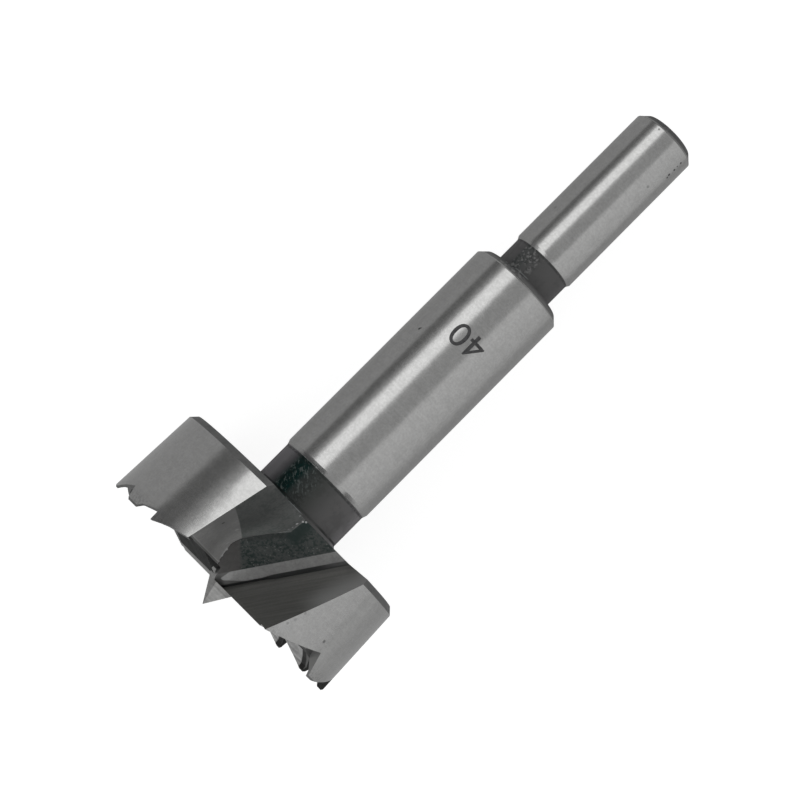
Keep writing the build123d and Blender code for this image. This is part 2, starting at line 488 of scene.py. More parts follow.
class Space:
    """The bit's upright coordinates as shader values, with the planes of its faces."""

    def __init__(self, board: Board, rest: Rest, tool: Tool) -> None:
        """Turns the row's object coordinates into the upright frame.

        Args:
            board: The material's nodes.
            rest: How the bit lies.
            tool: The bit's sizes.
        """
        self.board = board
        self.tool = tool
        coordinates = board.node("ShaderNodeTexCoord")
        turn = tuple(rest.turn().to_euler("XYZ"))
        scale = 1 / METRES
        settings = {"Location": tuple(rest.row_origin()), "Rotation": turn, "Scale": (scale, scale, scale)}
        settings["Vector"] = board.value(coordinates, "Object")
        self.place = board.value(board.node("ShaderNodeMapping", {"vector_type": "POINT"}, settings))
        self.x, self.y, self.z = self._parts(self.place)
        self.radius = board.maths("SQRT", self.x * self.x + self.y * self.y)
        self.angle = board.maths("ARCTAN2", self.x, self.y * -1.0) * math.degrees(1)
        self.lobe_angle = board.maths("FLOORED_MODULO", self.angle, 180.0)
        side = board.maths("SIGN", self.y)
        self.side = side * -1.0
        self.folded_x = self.x * self.side
        self.depth_y = abs(self.y)
        self.gullet_place = board.joined(self.folded_x, self.depth_y * -1.0, self.z)
        slope = math.tan(math.radians(tool.rim_taper))
        self.depth_in_rim = tool.rim_radius - (self.z - tool.tooth_level) * slope - self.radius
        self.behind_lip = board.dot(self.place, tool.behind())
        self.along_lip = board.dot(self.place, tool.lip())
        self._face_directions(coordinates, turn)
        self.courses = {
            Streaks.ROUND: board.joined(self.x * 0.06, self.y * 0.06, self.z),
            Streaks.GROOVE: self._course(tool.groove(), tool.groove().cross(tool.rake())),
            Streaks.LIP: self._course(tool.lip(), Vector((0, 0, 1))),
        }
        self.slant = board.joined(self.x * 0.5 - self.z * 0.5, self.x * 2.4 + self.z * 2.4, self.y * 0.5)
        self.clouds = board.noise(self.place, 0.55, 5.0, 0.6)
        self.pits = board.noise(self.place, 2.6, 3.0, 0.6)

    def _parts(self, vector: Value) -> Tuple[Value, Value, Value]:
        """A vector's three numbers."""
        made = self.board.node("ShaderNodeSeparateXYZ", {}, {0: vector})
        return self.board.value(made, 0), self.board.value(made, 1), self.board.value(made, 2)

    def _face_directions(self, coordinates: bpy.types.Node, turn: Triple) -> None:
        """Finds how far each face looks outwards, round the axis and upwards.

        Args:
            coordinates: The texture coordinates.
            turn: The turn into the upright frame.
        """
        board = self.board
        inputs = {"Vector": board.value(coordinates, "Normal"), "Rotation": turn}
        x, y, z = self._parts(board.value(board.node("ShaderNodeMapping", {"vector_type": "VECTOR"}, inputs)))
        self.outwards = (x * self.x + y * self.y) / self.radius
        self.roundwards = (y * self.x - x * self.y) / self.radius
        self.upwards = z
        self.facing = board.joined(x * self.side, y * self.side, z)

    def _course(self, direction: Vector, across: Vector) -> Value:
        """A place whose steps along a direction are long, for ground streaks on a flat face."""
        lengthways = self.board.dot(self.gullet_place, direction) * 0.05
        return self.board.joined(self.board.dot(self.gullet_place, across), lengthways, 0.0)

    def from_plane(self, direction: Vector, through: Vector) -> Value:
        """How far the place is from a plane of its own gullet."""
        return self.board.dot(self.gullet_place, direction) - direction.dot(through)

    def faces(self, direction: Vector, least: float = 0.9) -> Value:
        """1 where a face of its own gullet looks along a direction."""
        return self.board.dot(self.facing, direction).above(least, 0.06)

    def spot(self, place: Vector, radius: float, soft: float = 0.15) -> Value:
        """1 inside a small ball, 0 outside it.

        Args:
            place: The ball's middle.
            radius: Its radius.
            soft: The width of the change.

        Returns:
            A mask.
        """
        ends = {0: self.place, 1: tuple(place)}
        away = self.board.node("ShaderNodeVectorMath", {"operation": "DISTANCE"}, ends)
        return self.board.value(away, "Value").below(radius, soft)


@dataclass
class Look:
    """What a surface shows: its colour, roughness and metal as values, and its relief in millimetres."""

    colour: Value
    roughness: Number
    metallic: Number
    relief: Number

    def under(self, other: "Look", mask: Value) -> "Look":
        """This look with another one over it.

        Args:
            other: The look on top.
            mask: 1 where the other one shows.

        Returns:
            The two together.
        """
        board = self.colour.board

        def mixed(low: Number, high: Number) -> Number:
            """A number of the two looks, mixed."""
            return low + (high - low) * mask

        return Look(
            board.blend(self.colour, other.colour, mask),
            mixed(self.roughness, other.roughness),
            mixed(self.metallic, other.metallic),
            mixed(self.relief, other.relief),
        )

    def scaled(self, by: Value) -> "Look":
        """This look with its colour made lighter or darker.

        Args:
            by: How many times lighter it is.

        Returns:
            The changed look.
        """
        board = self.colour.board
        made = board.node("ShaderNodeVectorMath", {"operation": "SCALE"}, {0: self.colour, "Scale": by})
        return Look(board.value(made), self.roughness, self.metallic, self.relief)

    def tinted(self, colour: Union[Value, Triple], share: Value) -> "Look":
        """This look with its colour moved towards another."""
        board = self.colour.board
        return Look(board.blend(self.colour, colour, share), self.roughness, self.metallic, self.relief)


@dataclass(frozen=True)
class GroundSteel:
    """Steel ground bright, with fine lines and a soft mottling.

    Attributes:
        colour: The steel's colour.
        roughness: How blurred its reflections are.
        metallic: How far it is bare metal rather than stained.
        streaks: Which way the grinding lines run.
        lines: How many lines there are to a millimetre.
        line_share: How much of the colour's change the lines make.
        line_depth: How deep the lines are.
        mottling: How far the colour varies.
    """

    colour: Triple
    roughness: float
    metallic: float = 1.0
    streaks: Streaks = Streaks.ROUND
    lines: float = 4.0
    line_share: float = 0.2
    line_depth: float = 0.0003
    mottling: float = 0.1

    def look(self, space: Space) -> Look:
        """The finish as shader values.

        Args:
            space: The bit's coordinates.

        Returns:
            What the surface shows.
        """
        board = space.board
        lines = board.noise(space.courses[self.streaks], self.lines, 2.0)
        clouds = board.noise(space.place, 0.9, 4.0)
        grain = board.noise(space.place, 3.0, 2.0)
        darker = tuple(part * (1 - self.mottling) for part in self.colour)
        lighter = tuple(part * (1 + self.mottling) for part in self.colour)
        rest = 1 - self.line_share
        mixed = lines * self.line_share + clouds * (rest * 0.45) + grain * (rest * 0.55)
        tone = board.blend(darker, lighter, mixed.above(0.5, 0.4))
        blur = self.roughness * (0.85 + clouds * 0.2 + lines * 0.1)
        return Look(tone, blur, self.metallic, lines * self.line_depth + grain * 0.0012)


@dataclass(frozen=True)
class ForgedScale:
    """Dark scale left by forging: dull, with pale flecks and a greenish cast in its hollows.

    Attributes:
        colour: The scale's colour.
        hollow: The colour of its hollows.
        fleck: The colour of its flecks.
        roughness: How dull it is.
        flecks: How much the flecks show.
        relief: How deep its hollows are.
        blend: How gradually the hollows turn into the rest.
        cloud_share: How much of the hollows' pattern is coarse.
    """

    colour: Triple
    hollow: Triple
    fleck: Triple = (0.13, 0.14, 0.135)
    roughness: float = 0.5
    flecks: float = 0.5
    relief: float = 0.012
    blend: float = 0.28
    cloud_share: float = 0.6

    def look(self, space: Space) -> Look:
        """The finish as shader values.

        Args:
            space: The bit's coordinates.

        Returns:
            What the surface shows.
        """
        board = space.board
        clouds, pits = space.clouds, space.pits
        pattern = clouds * self.cloud_share + pits * (1 - self.cloud_share)
        tone = board.blend(self.hollow, self.colour, pattern.above(0.48, self.blend))
        bright = board.flecks(space.place, 2.1, 0.16) * pits.above(0.47, 0.2) * self.flecks
        tone = board.blend(tone, self.fleck, bright)
        blur = self.roughness * (0.85 + pits * 0.3)
        return Look(tone, blur, 0.0, (clouds * 0.5 + pits * 0.5 + bright * 0.3) * self.relief)


@dataclass(frozen=True)
class NeckScale:
    """The scale on the two necks: grey, with painted reflections as lighter and darker bands round them; the
    darkest band, greenish, lies on the side that turning tools have scratched.

    A side is a pair of angles round the neck.

    Attributes:
        painted_reflection_bands: The colour at each angle round the neck: its grey scale with painted
            reflections, lighter and darker bands.
        plain: The upper neck's colour.
        clouded: The colour of its faint clouds.
        lower_end: Where the lower neck ends, above which the dark side is faint.
        scratch: The colour of the scratches.
        upper_scratch: The colour of the upper neck's scratches.
        worked_side: The side that the tools have scratched.
        tinted_side: The side of the lower neck where the scale tints what it reflects.
        pits_and_painted_shade: The colour of the dark pits on the worked side, and of the painted shade along
            the neck's foot and under the hub and the shank.
        foot_line: The height of the painted shade along the neck's foot.
        faint_foot: The side where that painted shade is faint.
        edge_highlight: The colour of the painted highlight along the edge under it, and of the upper neck's
            painted highlight ring.
        edge_line: The height of that painted highlight.
        edge_side: The side where it shows.
        upper_ring: The height of the painted highlight ring near the upper neck's foot.
        ring_side: The side where it shows.
        corners: The heights of the corners under the hub and the shank, and how strong their painted shade
            is.
        roughness: How dull the scale is.
        relief: How deep the scratches are.
    """

    painted_reflection_bands: Tuple[Tuple[float, Triple], ...] = (
        (-180.0, (0.062, 0.06, 0.063)),
        (-75.0, (0.178, 0.172, 0.182)),
        (-55.0, (0.146, 0.142, 0.149)),
        (-46.0, (0.072, 0.07, 0.075)),
        (-38.0, (0.0, 0.018, 0.016)),
        (-24.0, (0.0, 0.018, 0.016)),
        (-16.0, (0.024, 0.03, 0.028)),
        (2.0, (0.055, 0.058, 0.055)),
        (12.0, (0.074, 0.075, 0.074)),
        (28.0, (0.1, 0.099, 0.099)),
        (50.0, (0.125, 0.123, 0.124)),
        (70.0, (0.215, 0.208, 0.215)),
        (120.0, (0.09, 0.087, 0.09)),
        (180.0, (0.062, 0.06, 0.063)),
    )
    plain: Triple = (0.078, 0.077, 0.077)
    clouded: Triple = (0.03, 0.032, 0.031)
    lower_end: float = 26.0
    scratch: Triple = (0.1, 0.117, 0.112)
    upper_scratch: Triple = (0.18, 0.18, 0.179)
    worked_side: Pair = (-42.0, -2.0)
    tinted_side: Pair = (-40.0, -22.0)
    pits_and_painted_shade: Triple = (0.008, 0.011, 0.01)
    foot_line: float = 18.42
    faint_foot: Pair = (-12.0, 33.0)
    edge_highlight: Triple = (0.3, 0.32, 0.32)
    edge_line: float = 18.02
    edge_side: Pair = (-22.0, 6.0)
    upper_ring: float = 63.08
    ring_side: Pair = (-26.0, 2.0)
    corners: Tuple[Pair, ...] = ((23.48, 0.6), (66.6, 0.5))
    roughness: float = 0.55
    relief: float = 0.02

    def look(self, space: Space) -> Look:
        """The finish as shader values.

        Args:
            space: The bit's coordinates.

        Returns:
            What the surface shows.
        """
        board, z, angle = space.board, space.z, space.angle
        clouds, pits = space.clouds, space.pits
        upper = z.above(self.lower_end, 1.0)
        # painted reflections: the colour turns lighter and darker in bands round the neck
        tone = board.ramp(angle, -180.0, 180.0, self.painted_reflection_bands)
        tone = board.blend(tone, self.plain, upper * 0.8)
        tone = board.blend(tone, self.clouded, clouds.below(0.44, 0.2) * 0.25)
        start, end = self.worked_side
        worked = angle.above(start, 5.0) * angle.below(end, 14.0)
        scratches = board.noise(space.slant, 1.3, 3.0, 0.65)
        fine = (scratches * 0.6 + pits * 0.4).above(0.56, 0.09) * (1 - upper)
        broad = board.noise(space.place, 2.0, 2.0, 0.5).above(0.57, 0.08) * upper
        marks = (fine + broad) * worked
        tone = board.blend(tone, self.pits_and_painted_shade, pits.below(0.45, 0.1) * worked * 0.5)
        tone = board.blend(tone, board.blend(self.scratch, self.upper_scratch, upper), marks * 0.7)
        # painted shade: a dark line round the neck's foot, fainter on one side
        faint = angle.within(*self.faint_foot, 20.0) * 0.6
        foot = z.near(self.foot_line, 0.16, 0.15) * clouds.above(0.38, 0.2) * (1 - faint)
        tone = board.blend(tone, self.pits_and_painted_shade, foot * 0.85)
        # painted highlight along the edge at the neck's foot
        worn = z.near(self.edge_line, 0.08, 0.08) * angle.within(*self.edge_side, 8.0)
        tone = board.blend(tone, self.edge_highlight, worn * 0.6)
        # painted highlight ring near the upper neck's foot
        ring = z.near(self.upper_ring, 0.06, 0.1) * angle.within(*self.ring_side, 8.0)
        tone = board.blend(tone, self.edge_highlight, ring * 0.5)
        # painted shade in the corners under the hub and the shank
        for height, share in self.corners:
            corner = z.within(height, height + 0.3, 0.2) * pits.above(0.43, 0.12)
            tone = board.blend(tone, self.pits_and_painted_shade, corner * share)
        tinted = angle.within(*self.tinted_side, 7.0) * (1 - upper) * (1 - marks)
        blur = self.roughness * (0.85 + pits * 0.3)
        return Look(tone, blur, tinted * 0.7, marks * self.relief + pits * 0.004)


@dataclass(frozen=True)
class Cylinders:
    """The necks in their scale, and the hub and the shank ground.

    Attributes:
        ground: The hub's and the shank's steel.
        neck: The necks' scale.
        past_corner: How far past a corner the ground steel begins.
        past_neck: How far outside the lower neck it begins on the hub.
        rounding_ground: How much of the hub's rounded end is ground like the hub.
        rounding_top: How far under the end face the rounding's faint polish stops.
        rounding_depth: How far inside the hub's radius it stops.
        polish: How strong that polish is.
        end_shade: The colour that the shank's end chamfer is darkened towards.
        end_edge: How far under the chamfer that begins.
    """

    ground: GroundSteel = GroundSteel((0.42, 0.42, 0.415), 0.21)
    neck: NeckScale = NeckScale()
    past_corner: float = 0.02
    past_neck: float = 0.03
    rounding_ground: float = 0.35
    rounding_top: float = 0.3
    rounding_depth: float = 1.1
    polish: float = 0.18
    end_shade: Triple = grey(0.1)
    end_edge: float = 0.05

    def look(self, space: Space) -> Look:
        """The finish as shader values.

        Args:
            space: The bit's coordinates.

        Returns:
            What the surface shows.
        """
        tool, z, radius = space.tool, space.z, space.radius
        shank = z.above(tool.shank_start + self.past_corner)
        shank = shank * radius.above(tool.waist_radius + self.past_corner)
        rounded = tool.hub_end - tool.hub_rounding
        hub = z.within(tool.hub_start + self.past_corner, rounded + self.rounding_ground)
        hub = hub * radius.above(tool.neck_radius + self.past_neck)
        rounding = z.within(rounded, tool.hub_end - self.rounding_top, 0.5)
        rounding = rounding * radius.above(tool.hub_radius - self.rounding_depth)
        ground = space.board.maths("MAXIMUM", hub + shank, rounding * self.polish)
        look = self.neck.look(space).under(self.ground.look(space), ground)
        shank_end = z.above(tool.length - tool.end_chamfer - self.end_edge)
        return look.tinted(self.end_shade, shank_end * 0.45)


@dataclass(frozen=True)
class Slant:
    """A slanting line across the gullet.

    Attributes:
        x: How far across it is, at its own height.
        z: That height.
        lean: How far it moves across for each millimetre up.
    """

    x: float
    z: float
    lean: float

    def across(self, space: Space) -> Value:
        """How far across a place is, once the line is stood upright."""
        return space.folded_x - (space.z - self.z) * self.lean

    def short_of(self, space: Space) -> Value:
        """1 before the line, 0 past it."""
        return self.across(space).below(self.x, 0.1)


@dataclass(frozen=True)
class GulletWalls:
    """The gullet's back wall and web wall, forged above and ground below, and the ridge between them.

    Attributes:
        scale: The back wall's scale.
        ground: The steel of its ground part.
        ground_level: How high that part reaches at the axis.
        ground_rise: How much higher it reaches for each millimetre outwards.
        rim_side_tone: The darker colour that it turns to near the rim.
        rim_side_start: How far from the web wall that darkening begins, and its lowest height.
        foot: The colour under its lower edge.
        foot_level: The height of that edge.
        edge_highlight: The colour of the painted highlight along its lower edge.
        edge_line: The height of that highlight.
        web_scale: The web wall's scale.
        web_foot: The scale on its foot.
        web_foot_level: How high the foot reaches at the axis.
        web_foot_fall: How much lower it reaches for each millimetre across.
        ridge_top: The upper part of the line where the web wall ends.
        ridge_kink: The slanting part under it.
        ridge_low: Its lower part.
        ridge_turn: The height at which the lower part takes over.
        ridge_shade: The colour of the web wall beside the slanting part.
        shade_width: How wide that is.
        shade_heights: Between which heights it is.
        corner_shade: The colour of the web wall's dark top corner.
        corner_sides: Between which places across the gullet it is.
        corner_level: The height at which it begins.
        crest: The colour of the painted highlight along the ridge's crest.
        crest_level: The height at which it begins.
    """

    scale: ForgedScale = ForgedScale(
        (0.085, 0.088, 0.086), (0.056, 0.062, 0.06), flecks=0.3, relief=0.006, blend=0.22, cloud_share=0.35
    )
    ground: GroundSteel = GroundSteel(
        (0.208, 0.207, 0.205), 0.5, 0.1, Streaks.GROOVE, 4.0, 0.3, line_depth=0.004, mottling=0.2
    )
    ground_level: float = 9.3
    ground_rise: float = 0.149
    rim_side_tone: Triple = (0.14, 0.14, 0.139)
    rim_side_start: Pair = (7.0, 8.4)
    foot: Triple = (0.13, 0.13, 0.129)
    foot_level: float = 5.56
    edge_highlight: Triple = (0.34, 0.34, 0.335)
    edge_line: float = 5.65
    web_scale: ForgedScale = ForgedScale(
        (0.066, 0.074, 0.071), (0.012, 0.026, 0.023), (0.17, 0.18, 0.175), 0.5, 1.3, 0.014, 0.17, 0.35
    )
    web_foot: ForgedScale = ForgedScale((0.094, 0.091, 0.089), (0.07, 0.069, 0.067), flecks=0.2, relief=0.005)
    web_foot_level: float = 7.45
    web_foot_fall: float = 0.9
    ridge_top: Slant = Slant(1.51, 14.85, 0.12)
    ridge_kink: Slant = Slant(0.5, 14.05, 0.888)
    ridge_low: Slant = Slant(-2.65, 6.0, -0.16)
    ridge_turn: float = 9.6
    ridge_shade: Triple = (0.018, 0.022, 0.021)
    shade_width: float = 1.0
    shade_heights: Pair = (10.2, 15.0)
    corner_shade: Triple = (0.006, 0.022, 0.019)
    corner_sides: Pair = (1.4, 3.4)
    corner_level: float = 14.2
    crest: Triple = grey(0.17)
    crest_level: float = 9.5

    def _back_wall(self, space: Space, from_web: Value) -> Look:
        """The wall behind the chips: forged, with a ground part below.

        Args:
            space: The bit's coordinates.
            from_web: How far the place is from the web wall.

        Returns:
            What it shows, with painted light towards the web wall.
        """
        z = space.z
        # painted light: the forged part is lighter towards the web wall, lower down
        upper = self.scale.look(space).scaled(1.0 + from_web.below(2.2, 3.0) * z.below(14.6, 2.4) * 0.4)
        out, level = self.rim_side_start
        lower = self.ground.look(space)
        # darker near the rim, higher up
        lower = lower.tinted(self.rim_side_tone, from_web.above(out, 3.5) * z.above(level, 2.4) * 0.7)
        lower = lower.tinted(self.foot, z.below(self.foot_level, 0.1) * 0.9)
        # painted highlight along the ground part's lower edge
        lower = lower.tinted(self.edge_highlight, z.near(self.edge_line, 0.06, 0.06) * 0.6)
        ground = z.below(space.depth_y * self.ground_rise + self.ground_level, 0.15)
        # painted light: the whole wall is lighter towards the web wall
        return upper.under(lower, ground).scaled(1.0 + from_web.below(2.6, 5.0) * 0.9)

    def _web_wall(self, space: Space) -> Look:
        """The wall beside the groove: forged, with painted shade by the ridge and in its top corner, plainer
        at its foot.

        Args:
            space: The bit's coordinates.

        Returns:
            What it shows.
        """
        x, z = space.folded_x, space.z
        kink = self.ridge_kink
        # painted shade beside the ridge's slanting part and in the wall's top corner
        shade = kink.across(space).within(kink.x, kink.x + self.shade_width, 0.5)
        web = self.web_scale.look(space)
        web = web.tinted(self.ridge_shade, shade * z.within(*self.shade_heights, 0.5) * 0.55)
        corner = x.within(*self.corner_sides, 1.6) * z.above(self.corner_level, 1.5)
        web = web.tinted(self.corner_shade, corner * 0.9)
        foot = z.below(self.web_foot_level - x * self.web_foot_fall, 1.0)
        return web.under(self.web_foot.look(space), foot)

    def look(self, space: Space) -> Look:
        """The finish as shader values.

        Args:
            space: The bit's coordinates.

        Returns:
            What the walls show.
        """
        tool = space.tool
        from_web = space.from_plane(tool.web(), tool.root_start() - tool.rake() * tool.foot_width)
        above_turn = self.ridge_top.short_of(space) * self.ridge_kink.short_of(space)
        below_turn = self.ridge_low.short_of(space)
        beyond = below_turn + (above_turn - below_turn) * space.z.above(self.ridge_turn, 0.3)
        look = self._back_wall(space, from_web)
        look = look.under(self._web_wall(space), from_web.on_face() * (1 - beyond))
        # painted highlight along the ridge
        crest = from_web.near(0.12, 0.1, 0.1) * space.z.above(self.crest_level, 1.0)
        return look.tinted(self.crest, crest * 0.5)


@dataclass(frozen=True)
class GrooveFaces:
    """The groove's bright foot and the rake face, with painted shade along the root where they meet.

    Attributes:
        foot: The foot's steel.
        run_out: Its colour beside the bright strip and under it.
        strip: How far from the rake face the strip begins and ends.
        strip_narrowing: How much it narrows on each side for each millimetre under the narrowing level.
        narrow_level: The height under which it narrows.
        strip_tip: The height of its lower end.
        root_line: The colour of the painted shade along the root near the lip.
        upper_root: Its colour further up.
        upper_level: The height at which the one turns into the other.
        faint_level: The height past which the root's painted shade is fainter.
        root_reach: How far the root's painted shade reaches over the foot.
        upper_reach: How much further it reaches there further up.
        rake_reach: How far it reaches over the rake face, further up.
        rake: The rake face's steel.
        lighter_rake: Its lighter colour in a patch near the rim, high up.
        lighter_patch: How deep inside the rim and how high that patch is half strong.
    """

    foot: GroundSteel = GroundSteel((0.345, 0.345, 0.343), 0.42, 0.6, Streaks.GROOVE, 5.0, 0.3, 0.002, 0.2)
    run_out: Triple = (0.14, 0.14, 0.138)
    strip: Pair = (0.42, 2.28)
    strip_narrowing: Pair = (0.34, 0.45)
    narrow_level: float = 6.16
    strip_tip: float = 4.25
    root_line: Triple = (0.02, 0.021, 0.021)
    upper_root: Triple = (0.05, 0.053, 0.052)
    upper_level: float = 8.9
    faint_level: float = 15.5
    root_reach: float = 0.36
    upper_reach: float = 0.16
    rake_reach: float = 0.5
    rake: GroundSteel = GroundSteel((0.15, 0.149, 0.141), 0.42, 0.5, Streaks.GROOVE, 1.6, 0.6, 0.0015, 0.22)
    lighter_rake: Triple = (0.34, 0.34, 0.337)
    lighter_patch: Pair = (3.6, 10.2)

    def _strip(self, space: Space, off_rake: Value) -> Value:
        """Where the foot's bright strip is.

        Args:
            space: The bit's coordinates.
            off_rake: How far the place is from the rake face.

        Returns:
            A mask.
        """
        fall = self.narrow_level - space.z
        inner, outer = self.strip_narrowing
        start, end = self.strip
        strip = (off_rake - fall * inner).above(start, 0.12) * (off_rake + fall * outer).below(end, 0.12)
        return strip * space.z.above(self.strip_tip, 0.15)

    def over(self, look: Look, space: Space) -> Look:
        """Another look with these faces over it.

        Args:
            look: The look underneath.
            space: The bit's coordinates.

        Returns:
            The two together.
        """
        tool, z = space.tool, space.z
        from_rake = space.from_plane(tool.rake(), tool.root_start())
        from_foot = space.from_plane(tool.out_of_foot(), tool.root_start())
        off_rake = abs(from_rake)
        upper = z.above(self.upper_level, 1.6)
        # painted shade along the root, on the foot and on the rake face
        dark = 1 - z.above(self.faint_level, 3.0) * 0.3
        root = space.board.blend(self.root_line, self.upper_root, upper)
        foot = self.foot.look(space).tinted(self.run_out, 1 - self._strip(space, off_rake))
        foot = foot.tinted(root, off_rake.below(upper * self.upper_reach + self.root_reach, 0.2) * dark)
        on_foot = from_foot.on_face() * off_rake.below(tool.foot_width - 0.1, 0.06)
        look = look.under(foot, on_foot * space.faces(tool.out_of_foot()))
        depth, level = self.lighter_patch
        rake = self.rake.look(space)
        # lighter near the rim, high up
        rake = rake.tinted(self.lighter_rake, space.depth_in_rim.below(depth, 6.4) * z.above(level, 4.6))
        rake = rake.tinted(root, abs(from_foot).below(upper * self.rake_reach, 0.3) * dark)
        return look.under(rake, from_rake.on_face() * space.faces(-tool.rake()))


@dataclass(frozen=True)
class Underside:
    """What lies under the head: the relief behind the lips, the teeth, the lands and the centre point.

    Attributes:
        relief: The scale behind the lips.
        outer_relief: Its colour far behind them.
        outer_start: How far behind them that begins.
        by_point: The colour of the step walls beside the centre point.
        by_point_reach: How far behind the lip they reach, and how high.
        gash: The steel between the teeth.
        tall_end: The angle round a lobe up to which the faces between the teeth reach higher.
        tall: How much higher they reach there.
        inner_rim: The steel of the rim's inside.
        shaded_insides: Where that inside has painted shade behind the teeth: an angle round a lobe, a width
            and a colour.
        dark_inside: Between which angles round a lobe it is under scale, as painted shade.
        tooth_face: The steel of the teeth's fronts.
        lit_tooth: The colour of the front that catches the light.
        lit_front: The angle of that front, and how far it reaches on either side.
        land: The steel of the lands along the lips.
        land_reach: How far behind the lip the lands reach, and how high.
        point: The centre point's steel.
        point_shade: Its colour near the lips.
        shade_level: The height at which that begins.
    """

    relief: ForgedScale = ForgedScale((0.05, 0.051, 0.05), (0.02, 0.022, 0.021), roughness=0.95, flecks=0.6)
    outer_relief: Triple = (0.12, 0.12, 0.119)
    outer_start: float = 8.6
    by_point: Triple = (0.48, 0.48, 0.475)
    by_point_reach: Pair = (2.85, 4.72)
    gash: GroundSteel = GroundSteel((0.15, 0.15, 0.149), 0.45, 0.5, Streaks.ROUND, 4.0, 0.5, 0.004, 0.25)
    tall_end: float = 100.0
    tall: float = 1.46
    inner_rim: GroundSteel = GroundSteel((0.58, 0.58, 0.575), 0.4, 0.8, Streaks.ROUND, 3.0, 0.6, 0.004, 0.35)
    shaded_insides: Tuple[Tuple[float, float, Triple], ...] = (
        (56.6, 4.0, grey(0.03)),
        (66.0, 8.0, grey(0.05)),
        (116.0, 5.8, (0.2, 0.2, 0.198)),
        (121.8, 3.9, grey(0.03)),
        (141.6, 2.8, grey(0.06)),
    )
    dark_inside: Pair = (86.0, 102.0)
    tooth_face: GroundSteel = GroundSteel(grey(0.022), 0.5, 0.5, Streaks.ROUND, 4.0, 0.5, 0.004, 0.3)
    lit_tooth: Triple = (0.26, 0.26, 0.257)
    lit_front: Pair = (55.5, 3.5)
    land: GroundSteel = GroundSteel((0.36, 0.36, 0.355), 0.35, 1.0, Streaks.LIP, 5.0, 0.4, 0.002, 0.12)
    land_reach: Pair = (1.5, 4.0)
    point: GroundSteel = GroundSteel((0.34, 0.34, 0.335), 0.36, 1.0, Streaks.ROUND, 2.2, 0.6, 0.006, 0.35)
    point_shade: Triple = (0.12, 0.12, 0.119)
    shade_level: float = 4.35

    def _relief(self, look: Look, space: Space) -> Look:
        """A look with the relief over it, and the step walls that lead down to the lips.

        Args:
            look: The look underneath.
            space: The bit's coordinates.

        Returns:
            The two together.
        """
        board, tool, z = space.board, space.tool, space.z
        behind = abs(space.behind_lip)
        low = z.below(tool.underside_level + 0.04, 0.02)
        downwards = space.upwards.below(-0.7, 0.1)
        step_wall = abs(board.dot(space.facing, tool.lip())).above(0.95, 0.04)
        reach, height = self.by_point_reach
        relief = self.relief.look(space)
        relief = relief.tinted(self.outer_relief, behind.above(self.outer_start, 1.6) * 0.85)
        relief = relief.tinted(self.by_point, step_wall * behind.below(reach, 0.12) * z.below(height, 0.12))
        return look.under(relief, low * board.maths("MAXIMUM", downwards, step_wall))

    def _teeth(self, look: Look, space: Space) -> Look:
        """A look with the rim's inside, the gashes and the teeth's fronts over it.

        Args:
            look: The look underneath.
            space: The bit's coordinates.

        Returns:
            The two together.
        """
        tool, angle = space.tool, space.lobe_angle
        teeth = space.depth_in_rim.within(0.05, tool.rim_wall + 0.05, 0.05)
        ahead = angle.below(self.tall_end, 1.0)
        teeth = teeth * space.z.below(ahead * self.tall + (tool.underside_level + 0.04), 0.02)
        look = look.under(self.gash.look(space), teeth)
        inside = teeth * space.outwards.below(-0.5, 0.2)
        look = look.under(self.inner_rim.look(space), inside)
        # painted shade on the rim's inside, behind the teeth
        for start, width, colour in self.shaded_insides:
            look = look.tinted(colour, inside * (angle - start).within(-0.2, width, 0.8))
        # painted shade: the rim's inside takes the dark scale between these angles
        look = look.under(self.relief.look(space), inside * angle.within(*self.dark_inside, 0.8))
        front = teeth * abs(space.roundwards).above(0.75, 0.2)
        lit = angle.near(*self.lit_front, 1.0) * space.roundwards.below(-0.5, 0.2)
        return look.under(self.tooth_face.look(space).tinted(self.lit_tooth, lit), front)

    def over(self, look: Look, space: Space) -> Look:
        """Another look with these faces over it.

        Args:
            look: The look underneath.
            space: The bit's coordinates.

        Returns:
            The two together.
        """
        tool, z = space.tool, space.z
        look = self._teeth(self._relief(look, space), space)
        behind = abs(space.behind_lip)
        reach, height = self.land_reach
        land = z.below(height, 0.05) * behind.below(reach, 0.1) * space.upwards.below(-0.5, 0.2)
        look = look.under(self.land.look(space), land * space.depth_in_rim.above(0.08, 0.04))
        spread = math.tan(math.radians(tool.point_half_angle))
        widest = space.board.maths("MAXIMUM", behind, abs(space.along_lip))
        on_point = (widest - z * spread).on_face() * z.below(tool.underside_level)
        point = self.point.look(space).tinted(self.point_shade, z.above(self.shade_level, 0.3))
        return look.under(point, on_point)


@dataclass(frozen=True)
class Spot:
    """A small mark on the surface.

    Attributes:
        place: Where it is, in the upright frame.
        radius: How far it reaches from there.
        colour: Its colour.
        share: How strong it is.
    """

    place: Triple
    radius: float
    colour: Triple = grey(0.03)
    share: float = 0.85


